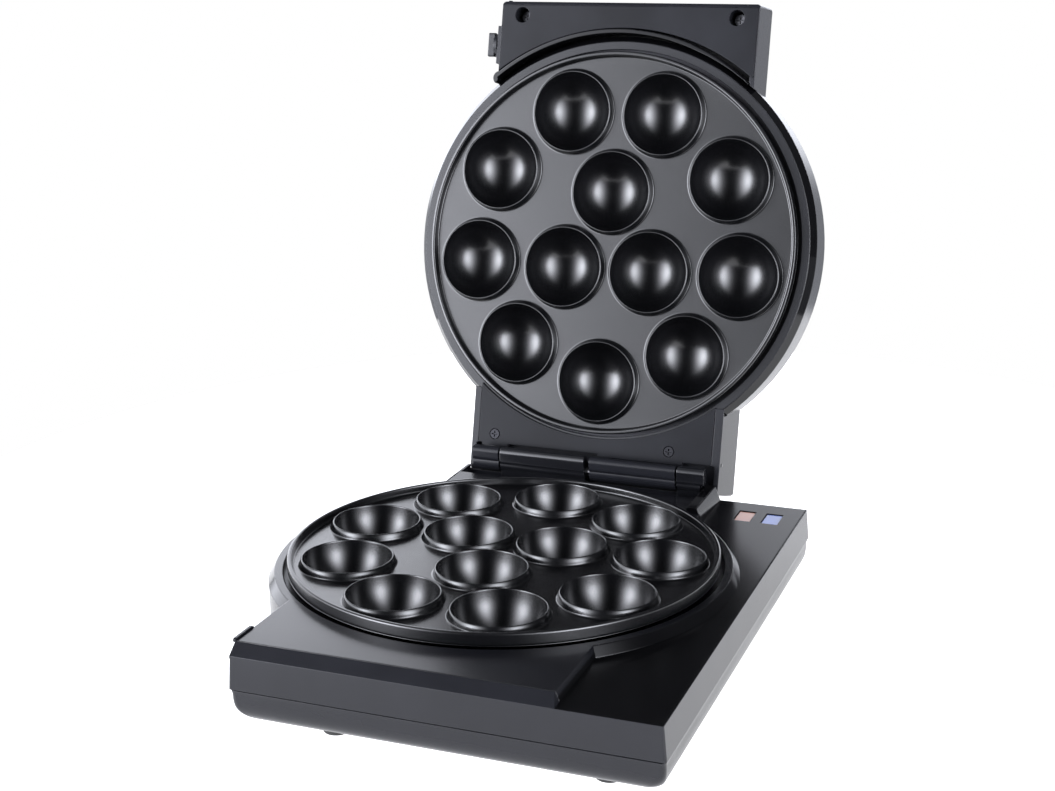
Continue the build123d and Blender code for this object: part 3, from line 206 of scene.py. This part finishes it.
def nonstick(name, turned=0.0, r0=0.225, r1=0.245, spec=0.62):
    """Black non-stick coating: soft gloss with a very fine sprayed texture and a trace of metallic speckle.
    In the turned cups the gloss is drawn out from rim to bottom."""
    m, nt, b = new_mat(name)
    if turned:
        tg = nt.nodes.new("ShaderNodeTangent")
        tg.direction_type = "UV_MAP"
        tg.uv_map = "turning"
        nt.links.new(tg.outputs[0], b.inputs["Tangent"])
        b.inputs["Anisotropic"].default_value = turned
        b.inputs["Anisotropic Rotation"].default_value = 0.25
    v = coords(nt)
    vor = nt.nodes.new("ShaderNodeTexVoronoi")
    vor.inputs["Scale"].default_value = 5200.0
    nt.links.new(v, vor.inputs["Vector"])
    fine = noise(nt, v, 3200.0, 2.0, 0.6)
    mid = noise(nt, v, 260.0, 3.0, 0.6)
    big = noise(nt, v, 30.0, 2.0, 0.5)
    speck = ramp(nt, vor.outputs["Color"], [(0.86, (0.0020, 0.0021, 0.0025)), (0.97, (0.012, 0.0125, 0.0145))])
    nt.links.new(speck.outputs[0], b.inputs["Base Color"])
    rr = ramp(nt, mid.outputs["Fac"], [(0.3, r0), (0.7, r1)])
    nt.links.new(rr.outputs[0], b.inputs["Roughness"])
    bm = bump(nt, fine.outputs["Fac"], 0.05, 0.00002)
    bm2 = bump(nt, big.outputs["Fac"], 0.02, 0.0003, bm.outputs[0])
    nt.links.new(bm2.outputs[0], b.inputs["Normal"])
    b.inputs["Specular IOR Level"].default_value = spec
    return m


MAT = {}
MAT["nonstick"] = nonstick("nonstick_coating")
MAT["cup"] = nonstick("nonstick_cups", 0.80, 0.245, 0.265, 0.95)
MAT["body"] = moulded("satin_body_plastic", (0.0085, 0.0088, 0.0110), 0.26, 0.0005, 0.05, spec=0.27, smudge=0.012, tint=0.12)
MAT["deck"] = moulded("satin_deck_plastic", (0.0060, 0.0062, 0.0080), 0.22, 0.0004, 0.03, spec=0.40, smudge=0.015)
MAT["cover"] = moulded("satin_cover_plastic", (0.0070, 0.0073, 0.0090), 0.32, 0.0004, 0.05, spec=0.14, smudge=0.015)
MAT["gloss"] = moulded("gloss_black_plastic", (0.0020, 0.0020, 0.0024), 0.10, 0.0008, 0.01, spec=0.36, smudge=0.01)
MAT["strip"] = moulded("strip_black_plastic", (0.0016, 0.0016, 0.0020), 0.21, 0.0004, 0.02, spec=0.16, smudge=0.01)
MAT["knuckle"] = moulded("hinge_plastic", (0.0060, 0.0062, 0.0075), 0.15, 0.0005, 0.02, spec=0.90, smudge=0.02)
MAT["steel"] = metal("zinc_steel", (0.32, 0.32, 0.33), 0.32)
MAT["dark_steel"] = metal("blackened_steel", (0.035, 0.035, 0.038), 0.38)
MAT["screw"] = metal("black_zinc_screws", (0.16, 0.16, 0.17), 0.30)
MAT["dark_screw"] = metal("blackened_screws", (0.028, 0.028, 0.031), 0.34)
MAT["aluminium"] = metal("rolled_aluminium", (0.72, 0.72, 0.73), 0.30)
MAT["element"] = metal("oxidised_sheath", (0.16, 0.14, 0.13), 0.5, False)
MAT["rubber"] = moulded("foot_rubber", (0.010, 0.010, 0.010), 0.65, 0.0007, 0.3)
MAT["amber"] = moulded("amber_window", (0.30, 0.115, 0.070), 0.20, 0.0009, 0.05, coat=0.4)
MAT["blue"] = moulded("blue_window", (0.055, 0.105, 0.34), 0.20, 0.0009, 0.05, coat=0.4)
MAT["board"] = moulded("lamp_board_green", (0.03, 0.12, 0.05), 0.4)
MAT["glass"] = moulded("neon_glass", (0.55, 0.50, 0.45), 0.08, 0.0009, 0.02)
MAT["phenolic"] = moulded("brown_phenolic", (0.12, 0.05, 0.025), 0.45)
MAT["white"] = moulded("white_nylon", (0.65, 0.65, 0.62), 0.4)


# ------------------------------------------------------------------ mesh helpers
def finish_mesh(name, me, mat, matrix=None, sharp=None, weighted=True):
    ob = bpy.data.objects.new(name, me)
    SC.collection.objects.link(ob)
    if matrix is not None:
        me.transform(matrix)
        if matrix.to_3x3().determinant() < 0:
            me.flip_normals()
    me.materials.clear()
    for mm in (mat if isinstance(mat, (list, tuple)) else [mat]):
        me.materials.append(mm)
    for p in me.polygons:
        p.use_smooth = True
    if sharp is not None:
        bm = bmesh.new()
        bm.from_mesh(me)
        for e in bm.edges:
            if len(e.link_faces) == 2 and e.calc_face_angle(0) > math.radians(sharp):
                e.smooth = False
        bm.to_mesh(me)
        bm.free()
    if weighted:
        md = ob.modifiers.new("wn", "WEIGHTED_NORMAL")
        md.keep_sharp = True
        md.weight = 60
        apply_mods(ob)
    return ob


def apply_mods(ob):
    dg = bpy.context.evaluated_depsgraph_get()
    dg.update()
    me = bpy.data.meshes.new_from_object(ob.evaluated_get(dg), depsgraph=dg)
    old = ob.data
    ob.modifiers.clear()
    ob.data = me
    me.name = ob.name
    if old.users == 0:
        bpy.data.meshes.remove(old)


def raw_mesh(verts, faces):
    me = bpy.data.meshes.new("raw")
    me.from_pydata(verts, [], faces)
    me.update()
    return me


def revolve(profile, n=192, cx=0.0, cy=0.0, a0=0.0, a1=360.0):
    """Profile of (r, z), in order; returns verts and faces."""
    full = abs(a1 - a0) >= 359.999
    cnt = n if full else n + 1
    verts, faces, rings = [], [], []
    for r, z in profile:
        if r < 1e-6:
            rings.append([len(verts)])
            verts.append((cx, cy, z))
        else:
            ring = []
            for i in range(cnt):
                a = math.radians(a0 + (a1 - a0) * i / n)
                ring.append(len(verts))
                verts.append((cx + r * math.cos(a), cy + r * math.sin(a), z))
            rings.append(ring)
    for ra, rb in zip(rings[:-1], rings[1:]):
        m = cnt if full else cnt - 1
        for i in range(m):
            j = (i + 1) % cnt
            if len(ra) == 1:
                faces.append((ra[0], rb[j], rb[i]))
            elif len(rb) == 1:
                faces.append((ra[i], ra[j], rb[0]))
            else:
                faces.append((ra[i], ra[j], rb[j], rb[i]))
    return verts, faces


def arc_pts(cx, cy, r, a0, a1, n):
    return [(cx + r * math.cos(math.radians(a0 + (a1 - a0) * i / n)), cy + r * math.sin(math.radians(a0 + (a1 - a0) * i / n))) for i in range(n + 1)]


def fill_loops(loops, z):
    """A flat face with holes, triangulated, keeping every point of every loop."""
    cu = bpy.data.curves.new("fill", "CURVE")
    cu.dimensions = "2D"
    cu.fill_mode = "BOTH"
    for lp in loops:
        sp = cu.splines.new("POLY")
        sp.points.add(len(lp) - 1)
        for p, (x, y) in zip(sp.points, lp):
            p.co = (x, y, 0, 1)
        sp.use_cyclic_u = True
    ob = bpy.data.objects.new("fill", cu)
    SC.collection.objects.link(ob)
    dg = bpy.context.evaluated_depsgraph_get()
    dg.update()
    me = bpy.data.meshes.new_from_object(ob.evaluated_get(dg), depsgraph=dg)
    bpy.data.objects.remove(ob)
    v = [(p.co.x, p.co.y, z) for p in me.vertices]
    f = [tuple(p.vertices) for p in me.polygons]
    up = sum(p.normal.z * p.area for p in me.polygons)
    if up < 0:
        f = [tuple(reversed(t)) for t in f]
    bpy.data.meshes.remove(me)
    return v, f


def join(parts, flip=None):
    verts, faces = [], []
    for v, f in parts:
        o = len(verts)
        verts += v
        faces += [tuple(i + o for i in t) for t in f]
    me = raw_mesh(verts, faces)
    bm = bmesh.new()
    bm.from_mesh(me)
    bmesh.ops.remove_doubles(bm, verts=bm.verts, dist=0.004)
    bmesh.ops.recalc_face_normals(bm, faces=bm.faces)
    bm.to_mesh(me)
    bm.free()
    return me


# ------------------------------------------------------------------ baking plates
def plate_parts():
    G = 0.10
    cup = [(18.68 * math.sin(math.radians(t)), -18.68 * math.cos(math.radians(t))) for t in [0, 2, 5] + list(range(9, 88, 4)) + [87.6]]
    lip = [(18.69, -0.45), (18.74, -0.27), (18.84, -0.15), (18.98, -G), (19.10, -G - 0.01), (19.24, -0.20), (19.36, -0.36)]
    shoulder = [(19.50, -0.62), (19.72, -1.10), (19.90, -1.70), (20.04, -2.30), (20.14, -2.72), (20.26, -2.98), (20.44, -3.17), (20.70, -3.27), (21.00, -3.30)]
    prof = cup + lip + shoulder
    parts = []
    for x, y in CUPS:
        parts.append(revolve(prof, 96, x, y))
    outer = arc_pts(0, 0, 88.2, 0, 360, 288)[:-1]
    holes = [arc_pts(x, y, 21.00, 0, 360, 96)[:-1] for x, y in CUPS]
    parts.append(fill_loops([outer] + holes, -3.30))
    rim = [
        (88.2, -3.30), (88.45, -3.25), (88.65, -3.10), (88.80, -2.85), (88.92, -2.4), (89.05, -1.6), (89.16, -0.85), (89.24, -0.48), (89.38, -0.24),
        (89.60, -G), (89.95, -G), (90.40, -G), (90.68, -0.17), (90.88, -0.34), (91.02, -0.62), (91.08, -1.0), (91.08, -4.55), (91.02, -4.78), (90.85, -4.90), (90.50, -4.95),
        (90.50, -5.05), (90.78, -5.09), (90.96, -5.18), (91.04, -5.32), (91.0, -5.45), (90.85, -5.55), (90.5, -5.60), (88.0, -5.60),
    ]
    parts.append(revolve(rim, 288))
    # the underside
    ru = math.sqrt(20.4 ** 2 - 5.6 ** 2)
    t0 = math.degrees(math.acos(5.6 / 20.4))
    under = [(20.4 * math.sin(math.radians(t0 * k / 10)), -20.4 * math.cos(math.radians(t0 * k / 10))) for k in range(11)]
    for x, y in CUPS:
        v, f = revolve(under, 48, x, y)
        parts.append((v, [tuple(reversed(t)) for t in f]))
    v, f = fill_loops([arc_pts(0, 0, 88.0, 0, 360, 288)[:-1]] + [arc_pts(x, y, ru, 0, 360, 48)[:-1] for x, y in CUPS], -5.60)
    parts.append((v, [tuple(reversed(t)) for t in f]))
    for a in (110, 230, 350):
        px, py = 81.0 * math.cos(math.radians(a)), 81.0 * math.sin(math.radians(a))
        parts.append(revolve([(3.6, -5.6), (3.6, -21.2), (3.4, -21.4), (0, -21.4)], 32, px, py))
    parts.append(revolve([(3.0, -5.6), (3.0, -21.2), (2.8, -21.4), (0, -21.4)], 32))
    return parts


def turn_cups(ob, matrix):
    """Second finish for the insides of the cups, with a layer that runs round each cup."""
    back = matrix.inverted()
    uv = ob.data.uv_layers.new(name="turning")
    vs = ob.data.vertices
    for p in ob.data.polygons:
        c = back @ p.center
        x, y = min(CUPS, key=lambda q: (c.x - q[0]) ** 2 + (c.y - q[1]) ** 2)
        inside = math.sqrt((c.x - x) ** 2 + (c.y - y) ** 2 + c.z ** 2) < 19.0 and c.z < -0.3
        if inside:
            p.material_index = 1
        a0 = math.atan2(c.y - y, c.x - x)
        for li in p.loop_indices:
            w = back @ vs[ob.data.loops[li].vertex_index].co
            if inside:
                r = math.hypot(w.x - x, w.y - y)
                a = math.atan2(w.y - y, w.x - x) if r > 0.01 else a0
                while a - a0 > math.pi:
                    a -= 2 * math.pi
                while a - a0 < -math.pi:
                    a += 2 * math.pi
                uv.data[li].uv = (a / 6.2832, math.atan2(r, -w.z))
            else:
                uv.data[li].uv = (w.x * 0.01, w.y * 0.01)


me = join(plate_parts())
low = finish_mesh("lower_plate_casting", me.copy(), [MAT["nonstick"], MAT["cup"]], M_BASE, sharp=60)
turn_cups(low, M_BASE)
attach(low, "base")
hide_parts("lower_baking_plate")
up = finish_mesh("upper_plate_casting", me.copy(), MAT["nonstick"], M_LID @ Matrix.Diagonal((1, 1, -1, 1)), sharp=60)
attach(up, "lid")
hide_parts("upper_baking_plate")

# ------------------------------------------------------------------ materials of the carried-over CAD nodes
FINISH = {
    "base_bottom_shell": "body", "base_upper_shell": "body", "base_top_cover": "deck", "base_rear_panel": "deck",
    "base_ring_band": "gloss", "control_strip": "strip", "amber_lamp_window": "amber", "blue_lamp_window": "blue",
    "lamp_board": "board", "neon_lamps": "glass", "lower_heating_element": "element", "upper_heating_element": "element",
    "lower_reflector": "dark_steel", "upper_reflector": "dark_steel", "lower_plate_screws": "steel", "upper_plate_screws": "steel",
    "thermostat": "phenolic", "thermal_fuse": "steel", "terminal_block": "white", "cord_gland": "rubber", "rubber_feet": "rubber",
    "base_screws": "steel", "hinge_bracket": "knuckle", "hinge_pin": "steel", "latch_keeper": "body", "lid_outer_shell": "body",
    "lid_trench_collar": "gloss", "lid_ring_cover": "deck", "lid_ring_band": "gloss", "handle_cover": "cover", "hinge_cover": "cover",
    "handle_screws": "screw", "hinge_cover_screws": "dark_screw", "latch_hook": "deck", "latch_clip": "steel",
    "lower_baking_plate": "nonstick", "upper_baking_plate": "nonstick",
}
for n, ob in NODES.items():
    ob.data.materials.clear()
    ob.data.materials.append(MAT[FINISH[n]])

# ------------------------------------------------------------------ floor, world, lights
floor_me = raw_mesh([(0.02 + 0.38 * math.cos(math.radians(a)), 0.13 + 0.38 * math.sin(math.radians(a)), 0) for a in range(0, 360, 4)], [tuple(range(90))])
floor = bpy.data.objects.new("floor", floor_me)
SC.collection.objects.link(floor)
fm, fnt, fb = new_mat("pale_floor")
fb.inputs["Base Color"].default_value = (0.86, 0.86, 0.865, 1)
fb.inputs["Roughness"].default_value = 0.7
fb.inputs["Specular IOR Level"].default_value = 0.1
fb.inputs["Emission Color"].default_value = (1, 1, 1, 1)
fb.inputs["Emission Strength"].default_value = 1.1
floor_me.materials.append(fm)
floor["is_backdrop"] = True

# white studio: bright backdrop behind and on the left, unlit room in front
w = bpy.data.worlds.new("studio")
SC.world = w
w.use_nodes = True
wt = w.node_tree
for n_ in list(wt.nodes):
    wt.nodes.remove(n_)
w_out = wt.nodes.new("ShaderNodeOutputWorld")
w_bg = wt.nodes.new("ShaderNodeBackground")
wt.links.new(w_bg.outputs[0], w_out.inputs[0])
w_tc = wt.nodes.new("ShaderNodeTexCoord")
w_sep = wt.nodes.new("ShaderNodeSeparateXYZ")
wt.links.new(w_tc.outputs["Generated"], w_sep.inputs[0])
w_az = math_node(wt, "ARCTAN2", w_sep.outputs[1], w_sep.outputs[0])
w_azn = math_node(wt, "DIVIDE", math_node(wt, "ADD", w_az, math.pi), 2 * math.pi)      # 0 left, 0.25 front, 0.5 right, 0.75 back
w_z = math_node(wt, "ADD", math_node(wt, "MULTIPLY", w_sep.outputs[2], 0.5), 0.5)
w_el = math_node(wt, "ARCSINE", w_sep.outputs[2])


def product(az, el, gain):
    return math_node(wt, "MULTIPLY", math_node(wt, "MULTIPLY", ramp(wt, w_azn, az).outputs[0], ramp(wt, w_z, el).outputs[0]), gain)


def soft_box(a0, e0, ha, he, amp):
    da = math_node(wt, "DIVIDE", math_node(wt, "SUBTRACT", w_az, math.radians(a0)), math.radians(ha))
    de = math_node(wt, "DIVIDE", math_node(wt, "SUBTRACT", w_el, math.radians(e0)), math.radians(he))
    q = math_node(wt, "ADD", math_node(wt, "MULTIPLY", da, da), math_node(wt, "MULTIPLY", de, de))
    return math_node(wt, "MULTIPLY", math_node(wt, "POWER", 0.5, q), amp)


w_dim = math_node(wt, "ADD", product(BACK_AZ, BACK_EL, BACK_GAIN), product(SIDE_AZ, SIDE_EL, SIDE_GAIN))
for bx in BOXES:
    w_dim = math_node(wt, "ADD", w_dim, soft_box(*bx))
w_dim = math_node(wt, "ADD", w_dim, ROOM)
w_lp = wt.nodes.new("ShaderNodeLightPath")
w_mix = wt.nodes.new("ShaderNodeMix")
w_mix.data_type = "FLOAT"
wt.links.new(w_lp.outputs["Is Camera Ray"], w_mix.inputs[0])
wt.links.new(w_dim, w_mix.inputs[2])
w_mix.inputs[3].default_value = 1.0
wt.links.new(w_mix.outputs[0], w_bg.inputs[1])
w_tint = wt.nodes.new("ShaderNodeMix")
w_tint.data_type = "RGBA"
wt.links.new(w_lp.outputs["Is Camera Ray"], w_tint.inputs[0])
w_tint.inputs[6].default_value = (0.94, 0.965, 1.05, 1)
w_tint.inputs[7].default_value = (1, 1, 1, 1)
wt.links.new(w_tint.outputs[2], w_bg.inputs[0])


SC.view_settings.view_transform = "Standard"
SC.view_settings.look = "None"

# ------------------------------------------------------------------ camera
R2 = Vector((0.9340557581832126, 0.35700938208274047, -0.009172879029172135))
U2 = Vector((-0.08995896363158916, 0.2600643623983078, 0.9613916539437465))
BK = Vector((0.3456113792500392, -0.8971682275444565, 0.2750308092153025))
LOC = Vector((0.25491526029043576, -0.6326592874182129, 0.30050930219902094))
cam = bpy.data.cameras.new("camera")
cam.sensor_width = 36.0
cam.sensor_fit = "HORIZONTAL"
cam.lens = 36.0 * 1721.78877 / 1055.0
cam.clip_start = 0.01
cam.clip_end = 50
co = bpy.data.objects.new("camera", cam)
SC.collection.objects.link(co)
co.matrix_world = Matrix((
    (R2.x, U2.x, BK.x, LOC.x),
    (R2.y, U2.y, BK.y, LOC.y),
    (R2.z, U2.z, BK.z, LOC.z),
    (0, 0, 0, 1),
))
SC.camera = co

box_list(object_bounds())
